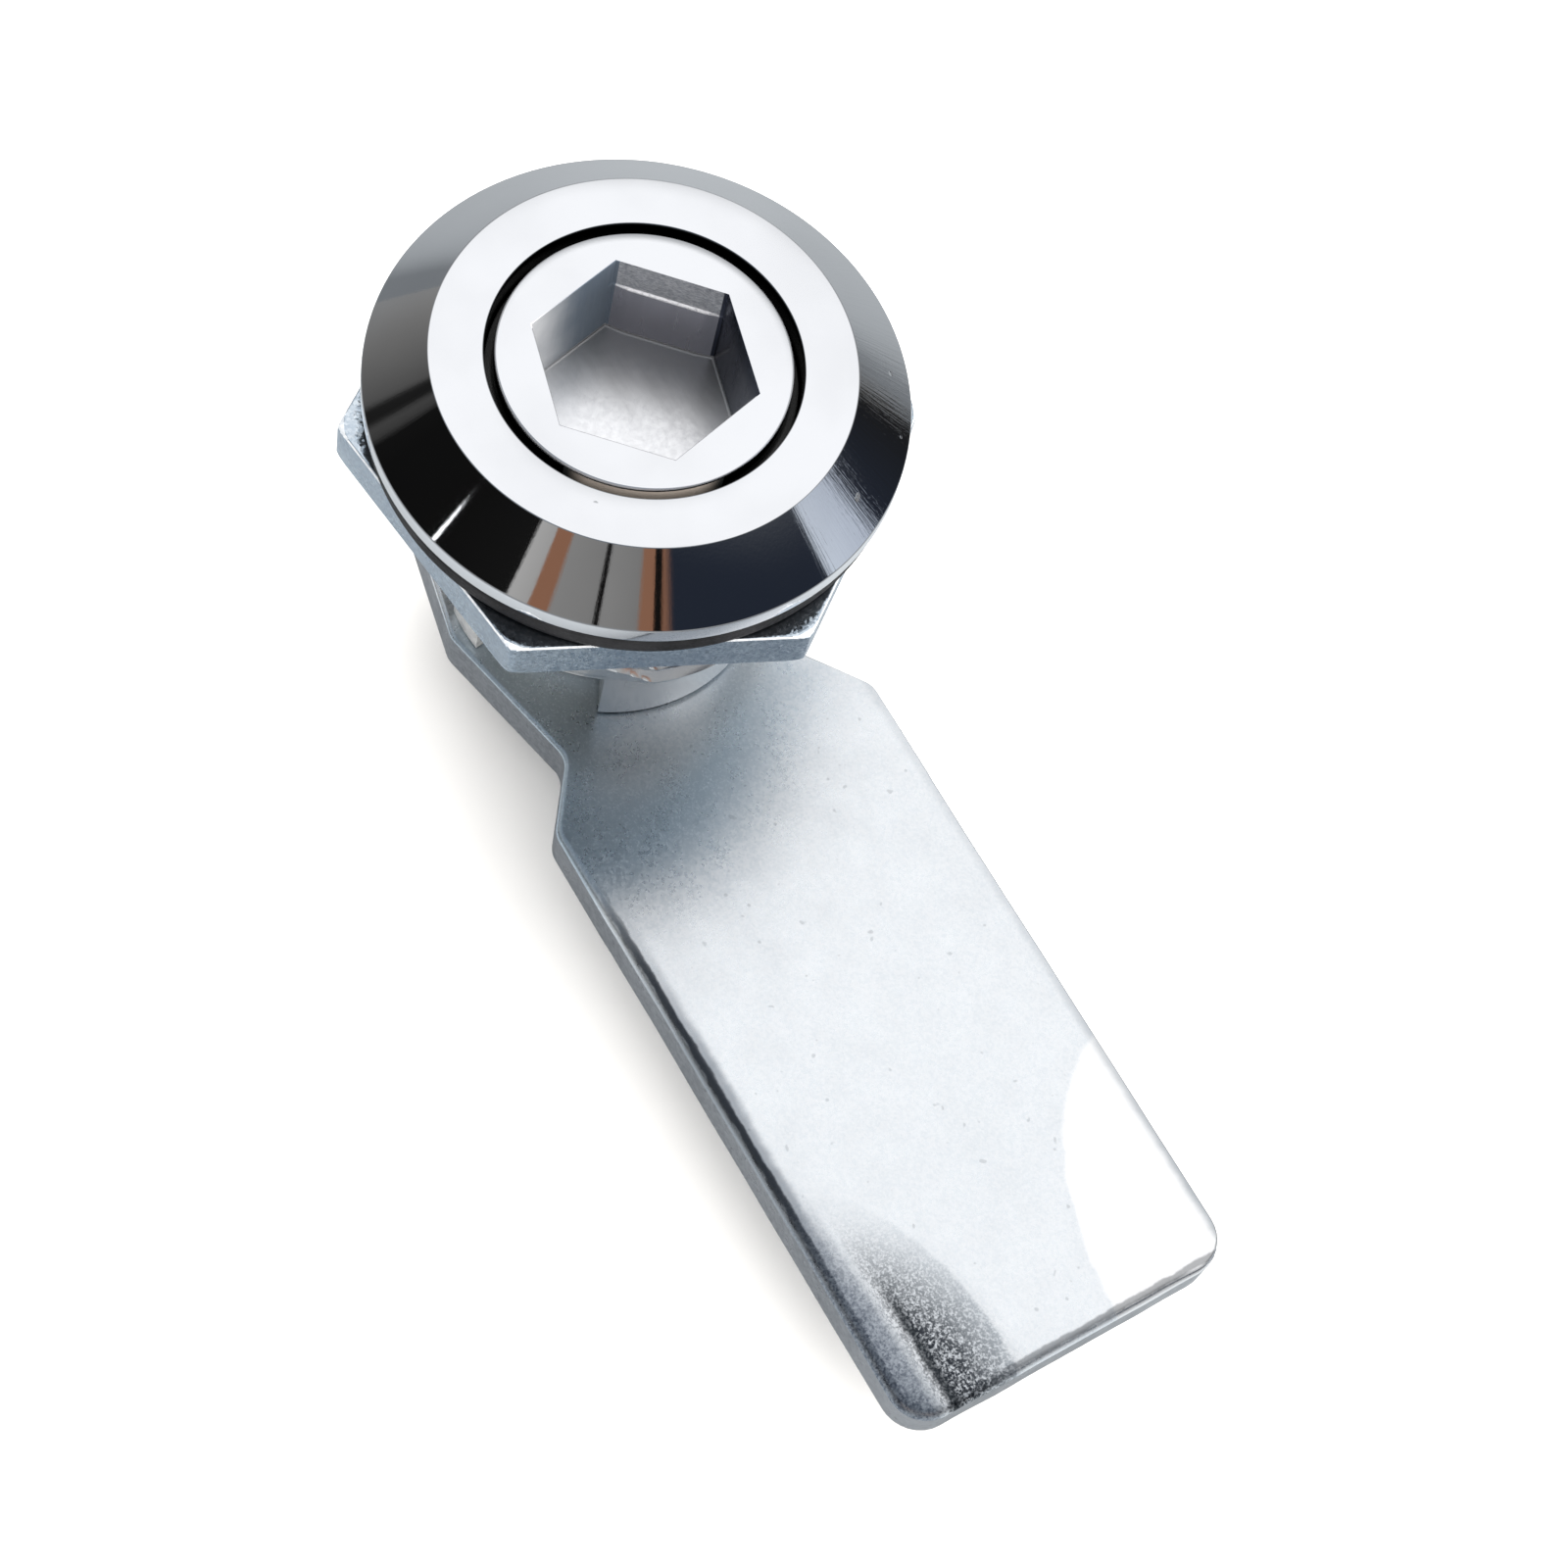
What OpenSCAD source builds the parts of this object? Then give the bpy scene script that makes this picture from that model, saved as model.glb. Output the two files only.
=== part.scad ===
// Quarter-turn cabinet lock: a round flanged housing with a hex-key spindle,
// clamped in a panel by a nut from behind, and a stamped cam on the spindle's end.
// Z = 0 is the panel's front face, under the gasket. The lock's axis is Z, the head
// points up, and the cam points along +X, a few degrees off the middle of its travel.

/* [Head] */
// Outer diameter of the flange
head_d = 29; // [26:0.5:34]
// Diameter of the flat front face
face_d = 22.4; // [20:0.1:24]
// Height of the flange's straight rim
lip_h = 1.1; // [0.8:0.1:2]
// Height of the cone between the rim and the flat face
cone_h = 2.8; // [2:0.1:4]
// Depth of the open ring between housing and spindle
ring_depth = 1.6; // [1:0.1:2.4]
// Width of the open ring between housing and spindle
ring_w = 0.5; // [0.3:0.01:1]

/* [Threaded body] */
// Diameter of the threaded body
body_d = 22; // [21:0.1:24]
// Width across the two flats
flats_w = 20.4; // [20.2:0.1:21]
// Angle of the flats' normal, measured from the cam at mid-travel
flats_angle = -45; // [-90:5:90]
// Length of the threaded body behind the panel's front face
body_len = 10.8; // [9:0.1:14]
// Chamfer at the end of the thread
body_chamfer = 0.8; // [0.4:0.1:1]
// Pitch of the thread
thread_pitch = 1.5; // [1:0.25:2]
// Depth of the thread's grooves
thread_depth = 0.65; // [0.4:0.05:0.7]

/* [Skirt and stops] */
// Outer diameter of the plain skirt behind the thread
skirt_d = 18.7; // [17.8:0.1:19.5]
// Length of the skirt
skirt_h = 5.8; // [5:0.1:9]
// Inner diameter of the skirt
skirt_bore_d = 14.8; // [14.2:0.1:15.4]
// Travel of the cam between its stops
travel = 90; // [60:5:120]
// How far the cam at rest stands clockwise of the middle of its travel
rest_turn = 5; // [-20:1:20]
// Width of the stop washer's ear, as an angle
ear_angle = 17; // [12:1:40]
// Play between ear and stop at each end, as an angle
stop_play = 0.5; // [0.3:0.1:1]
// Direction of the stop washer's ear, measured from the cam
ear_dir = -90; // [-180:5:180]
// Thickness of the stop washer
stop_t = 2; // [1.5:0.1:3]

/* [Spindle] */
// Width across the flats of the key socket
key_af = 10.6; // [8:0.1:11]
// Depth of the key socket
key_depth = 6; // [4:0.1:7]
// Lead-in chamfer at the socket's mouth
key_chamfer = 0.2; // [0.1:0.05:0.3]
// Angle of the socket's corner, measured from the cam
key_angle = 45; // [0:5:60]
// Bore of the housing that guides the spindle's head
guide_d = 16.66; // [16.2:0.01:17.2]
// Radial running clearance of the spindle in the housing
run_fit = 0.08; // [0.05:0.01:0.1]
// Distance of the face of the spindle below the housing's face
face_step = 0.07; // [0:0.01:0.3]
// Metal left below the key socket, above the housing's inner shoulder
floor_t = 4.3; // [4:0.1:5.5]
// Diameter of the spindle's journal
journal_d = 12.4; // [12:0.1:13]
// Side of the square that drives the cam
drive_sq = 8; // [7:0.1:8.4]
// Diameter of the seal ring's section
seal_d = 1.45; // [1.2:0.05:1.6]
// Height of the seal's groove above the head's lower face
seal_rise = 1.1; // [0.8:0.1:1.4]

/* [Cam] */
// Reach of the cam from the lock's axis to its tip
cam_reach = 52; // [35:0.5:70]
// Thickness of the cam's plate
cam_t = 3; // [2:0.1:4]
// Width of the blade
blade_w = 21; // [17:0.1:24]
// Width of the neck between hub and blade
neck_w = 15.4; // [13:0.1:16.5]
// Width of the hub over the axis
hub_w = 19.8; // [18.8:0.1:22]
// Distance of the neck from the axis
neck_x = 9.6; // [8:0.1:12]
// Length of the slope from neck to blade
slope_l = 3.8; // [2:0.1:6]
// Distance from the axis to the rear edge of the cam
rear_x = 10.4; // [9.5:0.1:13]
// Corner radius at the tip
tip_r = 2.3; // [1:0.1:5]
// Radius that rounds the other corners
corner_r = 1.5; // [0.5:0.1:2]
// Running gap between the skirt and the cam
cam_gap = 0.2; // [0.1:0.05:0.4]
// Clearance round the square, in the cam and the stop washer
square_fit = 0.1; // [0.05:0.05:0.2]

/* [Nut and gasket] */
// Width across the flats of the mounting nut
nut_af = 27.2; // [25.5:0.1:30]
// Thickness of the mounting nut
nut_t = 2.7; // [2:0.1:4]
// Chamfer on the nut's corners
nut_chamfer = 0.2; // [0.1:0.05:0.6]
// Turn of the nut, measured from the cam at rest
nut_angle = 6.8; // [0:0.1:60]
// Radial clearance of the nut's hole over the body
nut_fit = 0.06; // [0.04:0.01:0.1]
// Thickness of the gasket
gasket_t = 1.8; // [1:0.1:3]
// How far the gasket's edge lies inside the flange's rim
gasket_inset = 0.2; // [0:0.1:1]
// Clearance of the gasket's hole over the body
gasket_fit = 0.2; // [0.1:0.05:0.4]
// Gap between the gasket and the nut as delivered
nut_gap = 0.05; // [0:0.01:0.5]

/* [Cam bolt] */
// Thread diameter of the cam bolt
bolt_d = 6; // [4:0.5:6]
// Length of the bolt's shank under its head
bolt_len = 12; // [10:0.5:14]
// Width across the flats of the bolt's head
bolt_af = 10; // [7:0.1:11]
// Height of the bolt's head
bolt_head_h = 4; // [2.8:0.1:5]
// Outer diameter of the flat washer
washer_d = 18; // [14:0.5:20]
// Thickness of the flat washer
washer_t = 1.6; // [1:0.1:2]
// Outer diameter of the split lock washer
lock_washer_d = 11.8; // [10:0.1:13]
// Thickness of the split lock washer
lock_washer_t = 1.6; // [1:0.1:2]
// Width of the slit in the lock washer
slit_w = 1; // [0.5:0.1:1.5]
// Radial clearance of the two washers over the bolt
washer_fit = 0.2; // [0.1:0.05:0.4]
// Radial clearance of the bolt in the spindle's hole
thread_fit = 0.05; // [0.02:0.01:0.1]
// Room left beyond the bolt's end
bolt_room = 1; // [0.5:0.1:2]

/* [Hidden] */
$fn = 96;
eps = 0.01;
edge = 0.15;

// Heights of the head, upward from the panel's face
z_lip_bottom = gasket_t;
z_lip_top = z_lip_bottom + lip_h;
z_face = z_lip_top + cone_h;
z_spindle_face = z_face - face_step;
z_ring = z_face - ring_depth;
z_socket_floor = z_spindle_face - key_depth;
z_head_bottom = z_socket_floor - floor_t;
z_shoulder = z_head_bottom - run_fit;

// Heights behind the panel, downward
z_body_end = -body_len;
z_skirt_end = z_body_end - skirt_h;
z_cam_top = z_skirt_end - cam_gap;
z_journal_end = z_cam_top + stop_t;
z_cam_bottom = z_cam_top - cam_t;
z_square_end = z_cam_bottom + 0.3;
z_washer_bottom = z_cam_bottom - washer_t;
z_bolt_seat = z_washer_bottom - lock_washer_t;
z_bolt_bottom = z_bolt_seat - bolt_head_h;
z_bolt_end = z_bolt_seat + bolt_len;
z_hole_end = z_bolt_end + bolt_room;
z_nut_top = -nut_gap;

// The thread is one groove for each turn, and the last one ends at the chamfer
thread_turns = floor((body_len - body_chamfer) / thread_pitch);
z_thread_top = z_body_end + body_chamfer + thread_turns * thread_pitch;

// Radii
bore_r = guide_d / 2;
spindle_r = bore_r - ring_w;
guide_r = bore_r - run_fit;
journal_r = journal_d / 2;
journal_bore_r = journal_r + run_fit;
seal_z = z_head_bottom + seal_rise + seal_d / 2;
seal_out_r = bore_r - 0.05;
seal_mid_r = seal_out_r - seal_d / 2;
groove_r = seal_out_r - seal_d - 0.02;
groove_w = seal_d + 0.3;
stop_disc_r = skirt_bore_d / 2 - 0.3;
ear_r = skirt_d / 2 - 0.25;
window_angle = travel + ear_angle + 2 * stop_play;
window_dir = ear_dir + rest_turn;
flats_dir = flats_angle + rest_turn;
drive_hole = drive_sq + 2 * square_fit;

// A flat sector from the axis outward, centred on the direction dir
module sector(r, angle, dir) {
    steps = 12;
    polygon(concat([[0, 0]], [
        for (i = [0 : steps])
            let (a = dir - angle / 2 + i * angle / steps)
            r / cos(angle / steps / 2) * [cos(a), sin(a)]
    ]));
}

// A hexagon by its width across flats, with a corner along the given direction
module hexagon(af, corner_dir = 0) {
    rotate(corner_dir) circle(r = af / 2 / cos(30), $fn = 6);
}

// A square hole or post, by its side
module drive(side) {
    square([side, side], center = true);
}

module housing() {
    color("gainsboro")
    difference() {
        housing_blank();
        housing_bore();
        body_flats();
        stop_window();
    }
}

// Flange, threaded body and skirt as one turned shape
module housing_blank() {
    r_head = head_d / 2;
    r_body = body_d / 2;
    rotate_extrude($fn = 144)
        polygon(concat([
            [0, z_face],
            [face_d / 2 - edge, z_face],
            [face_d / 2, z_face - edge / 2],
            [r_head - edge / 2, z_lip_top + edge / 2],
            [r_head, z_lip_top - edge / 2],
            [r_head, z_lip_bottom + edge],
            [r_head - edge, z_lip_bottom],
            [r_body, z_lip_bottom]
        ], thread_profile(r_body), [
            [r_body, z_body_end + body_chamfer],
            [r_body - body_chamfer, z_body_end],
            [skirt_d / 2, z_body_end],
            [skirt_d / 2, z_skirt_end + edge],
            [skirt_d / 2 - edge, z_skirt_end],
            [0, z_skirt_end]
        ]));
}

// Points of the thread's grooves, downward, with flanks at about 30 degrees
function thread_profile(r) = [
    for (i = [0 : thread_turns - 1])
        let (z = z_thread_top - i * thread_pitch, crest = thread_pitch / 6, root = thread_pitch / 3)
        each [
            [r, z - crest / 2],
            [r - thread_depth, z - (thread_pitch - root) / 2],
            [r - thread_depth, z - (thread_pitch + root) / 2],
            [r, z - thread_pitch + crest / 2]
        ]
];

// Guide bore, journal bore and the skirt's cavity
module housing_bore() {
    translate([0, 0, z_shoulder]) cylinder(r = bore_r, h = z_face - z_shoulder + 1);
    translate([0, 0, z_face - edge])
        cylinder(r1 = bore_r, r2 = bore_r + edge + eps, h = edge + eps);
    translate([0, 0, z_skirt_end - 1])
        cylinder(r = journal_bore_r, h = z_shoulder - z_skirt_end + 1 + eps);
    translate([0, 0, z_skirt_end - 1])
        cylinder(r = skirt_bore_d / 2, h = skirt_h + 1);
}

// The two flats that keep the body from turning in its panel
module body_flats() {
    rotate(flats_dir)
        for (side = [-1, 1])
            translate([side * (flats_w / 2 + body_d / 2), 0, (z_lip_bottom + z_body_end - 1) / 2])
                cube([body_d, 2 * body_d, z_lip_bottom - z_body_end + 1], center = true);
}

// The gap in the skirt in which the stop washer's ear swings
module stop_window() {
    translate([0, 0, z_skirt_end - 1])
        linear_extrude(height = skirt_h + 1)
            sector(skirt_d / 2 + 1, window_angle, window_dir);
}

module gasket() {
    color([0.08, 0.08, 0.08])
    rotate_extrude($fn = 144)
        polygon([
            [body_d / 2 + gasket_fit, 0],
            [head_d / 2 - gasket_inset - edge, 0],
            [head_d / 2 - gasket_inset, edge],
            [head_d / 2 - gasket_inset, gasket_t],
            [body_d / 2 + gasket_fit, gasket_t]
        ]);
}

module mounting_nut() {
    corner_r_full = nut_af / 2 / cos(30);
    hole_r = body_d / 2 + nut_fit;
    color("lightsteelblue")
    translate([0, 0, z_nut_top - nut_t])
        difference() {
            intersection() {
                linear_extrude(height = nut_t) hexagon(nut_af, nut_angle);
                chamfered_disc(corner_r_full - 0.06, nut_t, nut_chamfer, 2.6 * nut_chamfer);
            }
            translate([0, 0, -1]) cylinder(r = hole_r, h = nut_t + 2);
            for (end = [0, 1])
                translate([0, 0, end * nut_t])
                    mirror([0, 0, end])
                        translate([0, 0, -eps])
                            cylinder(r1 = hole_r + 0.5 + eps, r2 = hole_r, h = 0.5 + eps);
        }
}

// A disc with both rims cut back, which takes the corners off a hexagon
module chamfered_disc(r, h, rise, cut) {
    rotate_extrude($fn = 96)
        polygon([
            [0, 0], [r - cut, 0], [r, rise],
            [r, h - rise], [r - cut, h], [0, h]
        ]);
}

module spindle() {
    color("silver")
    difference() {
        union() {
            spindle_turned();
            translate([0, 0, z_square_end])
                linear_extrude(height = z_journal_end - z_square_end + eps) drive(drive_sq);
        }
        key_socket();
        translate([0, 0, z_square_end - 1])
            cylinder(r = bolt_d / 2 + thread_fit, h = z_hole_end - z_square_end + 1);
    }
}

// Face, guided head with its seal groove, and journal
module spindle_turned() {
    rotate_extrude($fn = 144)
        polygon([
            [0, z_spindle_face],
            [spindle_r - edge, z_spindle_face],
            [spindle_r, z_spindle_face - edge],
            [spindle_r, z_ring],
            [guide_r, z_ring],
            [guide_r, seal_z + groove_w / 2],
            [groove_r, seal_z + groove_w / 2],
            [groove_r, seal_z - groove_w / 2],
            [guide_r, seal_z - groove_w / 2],
            [guide_r, z_head_bottom + edge],
            [guide_r - edge, z_head_bottom],
            [journal_r, z_head_bottom],
            [journal_r, z_journal_end],
            [0, z_journal_end]
        ]);
}

// Hexagonal socket for the key, with a small lead-in
module key_socket() {
    translate([0, 0, z_socket_floor])
        linear_extrude(height = key_depth + 1) hexagon(key_af, key_angle);
    steps = 2;
    for (i = [1 : steps])
        translate([0, 0, z_spindle_face - key_chamfer * i / steps])
            linear_extrude(height = key_chamfer + 1)
                hexagon(key_af + 2 * key_chamfer * (steps + 1 - i) / steps, key_angle);
}

module spindle_seal() {
    color([0.12, 0.12, 0.12])
    rotate_extrude($fn = 72)
        translate([seal_mid_r, seal_z]) circle(d = seal_d, $fn = 24);
}

// Disc on the drive square, with the ear that meets the stops
module stop_washer() {
    color("silver")
    translate([0, 0, z_cam_top])
        linear_extrude(height = stop_t)
            difference() {
                union() {
                    circle(r = stop_disc_r);
                    intersection() {
                        circle(r = ear_r);
                        sector(ear_r, ear_angle, ear_dir);
                    }
                }
                drive(drive_hole);
            }
}

// Outline of the cam, symmetric about X: hub, neck and blade
module cam_outline() {
    hub_y = hub_w / 2;
    neck_y = neck_w / 2;
    blade_x = neck_x + slope_l;
    half = [
        [-rear_x, 0],
        [-rear_x, neck_y],
        [0, hub_y],
        [neck_x, neck_y],
        [blade_x, blade_w / 2],
        [blade_x + 2 * corner_r, blade_w / 2],
        [blade_x + 2 * corner_r, 0]
    ];
    offset(r = -corner_r, $fn = 48) offset(r = 2 * corner_r, $fn = 48) offset(delta = -corner_r) {
        polygon(half);
        mirror([0, 1]) polygon(half);
    }
    cam_blade(blade_x + corner_r);
}

// The straight blade from x0 to the rounded tip
module cam_blade(x0) {
    translate([x0, -blade_w / 2]) square([cam_reach - tip_r - x0, blade_w]);
    translate([x0, -blade_w / 2 + tip_r]) square([cam_reach - x0, blade_w - 2 * tip_r]);
    for (side = [-1, 1])
        translate([cam_reach - tip_r, side * (blade_w / 2 - tip_r)]) circle(r = tip_r, $fn = 48);
}

module cam() {
    color("lightsteelblue")
    translate([0, 0, z_cam_bottom])
        linear_extrude(height = cam_t)
            difference() {
                cam_outline();
                drive(drive_hole);
            }
}

module flat_washer() {
    color("silver")
    translate([0, 0, z_washer_bottom])
        difference() {
            cylinder(d = washer_d, h = washer_t);
            translate([0, 0, -1]) cylinder(r = bolt_d / 2 + washer_fit, h = washer_t + 2);
        }
}

module lock_washer() {
    color("dimgray")
    translate([0, 0, z_bolt_seat])
        difference() {
            cylinder(d = lock_washer_d, h = lock_washer_t);
            translate([0, 0, -1]) cylinder(r = bolt_d / 2 + washer_fit, h = lock_washer_t + 2);
            translate([lock_washer_d / 2, 0, lock_washer_t / 2])
                rotate([30, 0, 0])
                    cube([lock_washer_d, slit_w, 4 * lock_washer_t], center = true);
        }
}

module cam_bolt() {
    color("silver") {
        translate([0, 0, z_bolt_bottom])
            intersection() {
                linear_extrude(height = bolt_head_h) hexagon(bolt_af, 0);
                rotate_extrude($fn = 72)
                    polygon([
                        [0, 0],
                        [bolt_af / 2 * 0.95, 0],
                        [bolt_af / 2 / cos(30), 0.5],
                        [bolt_af / 2 / cos(30), bolt_head_h],
                        [0, bolt_head_h]
                    ]);
            }
        translate([0, 0, z_bolt_seat - eps]) cylinder(d = bolt_d, h = bolt_len + eps);
    }
}

housing();
gasket();
mounting_nut();
spindle();
spindle_seal();
stop_washer();
cam();
flat_washer();
lock_washer();
cam_bolt();
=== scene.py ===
import math

import bmesh
import bpy
from mathutils import Matrix, Vector, noise
from mathutils.geometry import delaunay_2d_cdt

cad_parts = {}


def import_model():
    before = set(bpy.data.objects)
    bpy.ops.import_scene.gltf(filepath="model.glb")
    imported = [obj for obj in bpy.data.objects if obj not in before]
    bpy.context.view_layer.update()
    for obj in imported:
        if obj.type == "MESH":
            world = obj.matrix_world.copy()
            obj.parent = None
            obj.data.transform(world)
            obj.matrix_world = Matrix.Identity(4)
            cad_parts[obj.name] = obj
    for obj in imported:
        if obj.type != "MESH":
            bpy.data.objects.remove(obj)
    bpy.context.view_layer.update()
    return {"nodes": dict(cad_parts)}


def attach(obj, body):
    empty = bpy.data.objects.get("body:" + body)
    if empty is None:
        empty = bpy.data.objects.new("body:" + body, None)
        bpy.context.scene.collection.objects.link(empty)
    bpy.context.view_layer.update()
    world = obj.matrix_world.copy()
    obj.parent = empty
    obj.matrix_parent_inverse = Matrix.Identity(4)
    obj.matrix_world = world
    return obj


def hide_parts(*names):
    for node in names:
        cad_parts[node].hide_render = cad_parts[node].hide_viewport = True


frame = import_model()

TAU = math.tau
MM = 0.001
UM = 0.000001

# Sizes that are the CAD model's. Lengths and heights are in millimetres, with the gasket's
# underside at height 0. Directions are in degrees round the lock's axis, from +x.
Z_FACE, Z_LIP_TOP, Z_LIP_BOTTOM = 5.7, 2.9, 1.8
HEAD_R, FACE_R = 14.5, 11.2
BORE_R, Z_BORE_END, JOURNAL_BORE_R = 8.33, -4.75, 6.28
BODY_R, Z_BODY_END, BODY_CHAMFER, PITCH = 11.0, -10.8, 0.8, 1.5
FLAT_R, FLATS_DIR = 10.2, -40.0
SKIRT_R, SKIRT_BORE_R, Z_SKIRT_END = 9.35, 7.4, -16.6
WINDOW_FROM, WINDOW_TO = -139.0, -31.0
GASKET_IN, GASKET_R = 11.2, 14.3
NUT_AF, NUT_DIR, NUT_HOLE_R, Z_NUT_BOTTOM, Z_NUT_TOP = 27.2, 6.8, 11.06, -2.75, -0.05
Z_SPINDLE, SPINDLE_R, Z_RING, GUIDE_R, Z_GUIDE_END = 5.63, 7.83, 4.1, 8.25, -4.67
JOURNAL_R, SQUARE_HALF, DRIVE_HALF, Z_SQUARE_END = 6.2, 4.0, 4.1, -19.5
Z_SOCKET, KEY_AF, KEY_DIR = -0.37, 10.6, 45.0
Z_STOP_TOP, STOP_R, EAR_R, EAR_HALF_ANGLE = -14.8, 7.1, 9.1, 8.5
Z_CAM_TOP, Z_CAM_BOTTOM, CAM_TIP, BLADE_HALF = -16.8, -19.8, 52.0, 10.5
HUB_AND_NECK = [(-10.4, 7.7), (0.0, 9.9), (9.6, 7.7), (13.4, BLADE_HALF)]
Z_WASHER_BOTTOM, WASHER_R, WASHER_HOLE_R = -21.4, 9.0, 3.2
Z_BOLT_SEAT, Z_FLOOR, BOLT_AF, Z_BOLT_END = -23.0, -27.0, 10.0, -11.0

# This script's own sizes, in millimetres: the thread's helix, which runs up under the gasket,
# hidden seats that are a little simpler than the CAD model's, and fine relief
THREAD_DEPTH, Z_THREAD_TOP, THREAD_RUNOUT, NECK_R = 0.82, 0.9, 0.5, 10.15
SEAL_SEAT_R, Z_SEAT_TOP, Z_SEAT_BOTTOM = 6.9, -2.0, -3.6
SPRING_IN, SPRING_R, BOLT_HOLE_R, BOLT_R = 3.25, 5.85, 3.0, 2.95
GASKET_EDGE_R = 14.1
SOCKET_STEP, Z_STEP = 0.12, Z_SPINDLE - 2.0
TOP_ROLL, BOTTOM_ROLL = (0.7, 0.55), (0.2, 0.3)

# The belt of the room that the cone reflects, in degrees: its zenith angle on the camera's side,
# and how that grows with t and t squared, where t is 1 less the cosine of the turn away from there
CAMERA_AZIMUTH, BELT_ZENITH, BELT_RISE, BELT_BEND = -49.0, 54.6, 12.2, 4.5


# Mesh helpers

def unit(v):
    """The value, kept between 0 and 1."""
    return min(1.0, max(0.0, v))


def on_circle(r, a, z):
    return (r * math.cos(a), r * math.sin(a), z)


def make(name, verts, faces, materials, sharp=32.0):
    """A mesh object from points in millimetres, smooth apart from edges sharper than the angle."""
    mesh = bpy.data.meshes.new(name)
    mesh.from_pydata([(x * MM, y * MM, z * MM) for x, y, z in verts], [], faces)
    bm = bmesh.new()
    bm.from_mesh(mesh)
    bmesh.ops.remove_doubles(bm, verts=bm.verts, dist=1e-7)
    bmesh.ops.recalc_face_normals(bm, faces=bm.faces)
    limit = math.radians(sharp)
    for f in bm.faces:
        f.smooth = True
    for e in bm.edges:
        e.smooth = not (len(e.link_faces) == 2 and e.calc_face_angle(0.0) > limit)
    bm.to_mesh(mesh)
    bm.free()
    obj = bpy.data.objects.new(name, mesh)
    bpy.context.scene.collection.objects.link(obj)
    for m in materials:
        mesh.materials.append(m)
    flatten = obj.modifiers.new("flat_faces_stay_flat", "WEIGHTED_NORMAL")
    flatten.keep_sharp = True
    return obj


def fillet(points, closed=True, steps=4):
    """Rounds the corners of an outline or a profile. Each point is (x, y, radius)."""
    nearly_straight = math.radians(88)
    out = []
    n = len(points)
    for i, (x, y, rad) in enumerate(points):
        if rad <= 0 or (not closed and i in (0, n - 1)):
            out.append((x, y))
            continue
        p = Vector((x, y))
        a = (Vector(points[i - 1][:2]) - p).normalized()
        b = (Vector(points[(i + 1) % n][:2]) - p).normalized()
        half = a.angle(b) / 2
        if half > nearly_straight:
            out.append((x, y))
            continue
        centre = p + (a + b).normalized() * rad / math.sin(half)
        start = p + a * rad / math.tan(half) - centre
        end = p + b * rad / math.tan(half) - centre
        a0 = math.atan2(start.y, start.x)
        turn = (math.atan2(end.y, end.x) - a0 + math.pi) % TAU - math.pi
        for k in range(steps + 1):
            t = a0 + turn * k / steps
            out.append((centre.x + rad * math.cos(t), centre.y + rad * math.sin(t)))
    return out


def rings(rows, loop):
    """Quads between rows of points, which wrap round. With loop the last row joins the first,
    and without it both ends are closed by a face."""
    verts = [p for row in rows for p in row]
    n = len(rows[0])
    faces = []
    for j in range(len(rows) if loop else len(rows) - 1):
        k = (j + 1) % len(rows)
        for i in range(n):
            h = (i + 1) % n
            faces.append((j * n + i, j * n + h, k * n + h, k * n + i))
    if not loop:
        faces.append(tuple(range(n)))
        faces.append(tuple((len(rows) - 1) * n + i for i in range(n)))
    return verts, faces


def turned(profile, n, radius=None, loop=True):
    """A turned shape from (r, z) points. radius(r, z, angle) may change a row's radius round the axis."""
    rows = []
    for r, z in profile:
        angles = [TAU * i / n for i in range(n)]
        rows.append([on_circle(radius(r, z, a) if radius else r, a, z) for a in angles])
    return rings(rows, loop)


def sweep(profile, a0, a1, n, slant=None):
    """A closed profile swept round the axis between two angles in degrees, with flat ends.
    slant(r, z) may turn each of its points on by an angle in radians."""
    verts = []
    m = len(profile)
    for i in range(n + 1):
        for r, z in profile:
            a = math.radians(a0 + (a1 - a0) * i / n) + (slant(r, z) if slant else 0.0)
            verts.append(on_circle(r, a, z))
    faces = [(i * m + j, i * m + (j + 1) % m, (i + 1) * m + (j + 1) % m, (i + 1) * m + j)
             for i in range(n) for j in range(m)]
    faces += [tuple(range(m)), tuple(n * m + j for j in range(m))]
    return verts, faces


def joined(*parts):
    verts, faces = [], []
    for v, f in parts:
        k = len(verts)
        verts += v
        faces += [tuple(k + i for i in face) for face in f]
    return verts, faces


def hex_r(af, angle, corner_dir):
    """Distance from the axis to a hexagon's side, in the direction angle (radians)."""
    t = (angle - math.radians(corner_dir)) % (math.pi / 3) - math.pi / 6
    return af / 2 / math.cos(t)


def inside(p, loop):
    hit = False
    for i in range(len(loop)):
        (x0, y0), (x1, y1) = loop[i - 1], loop[i]
        if (y0 > p[1]) != (y1 > p[1]) and p[0] < (x1 - x0) * (p[1] - y0) / (y1 - y0) + x0:
            hit = not hit
    return hit


def inset(loop, d):
    """The outline moved inward by d; a counter-clockwise outline shrinks."""
    out = []
    n = len(loop)
    for i in range(n):
        a, p, b = (Vector(loop[k % n]) for k in (i - 1, i, i + 1))
        u, v = (p - a).normalized(), (b - p).normalized()
        nu, nv = Vector((-u.y, u.x)), Vector((-v.y, v.x))
        m = (nu + nv).normalized()
        q = p + m * d / max(0.5, m.dot(nu))
        out.append((q.x, q.y))
    return out


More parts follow.
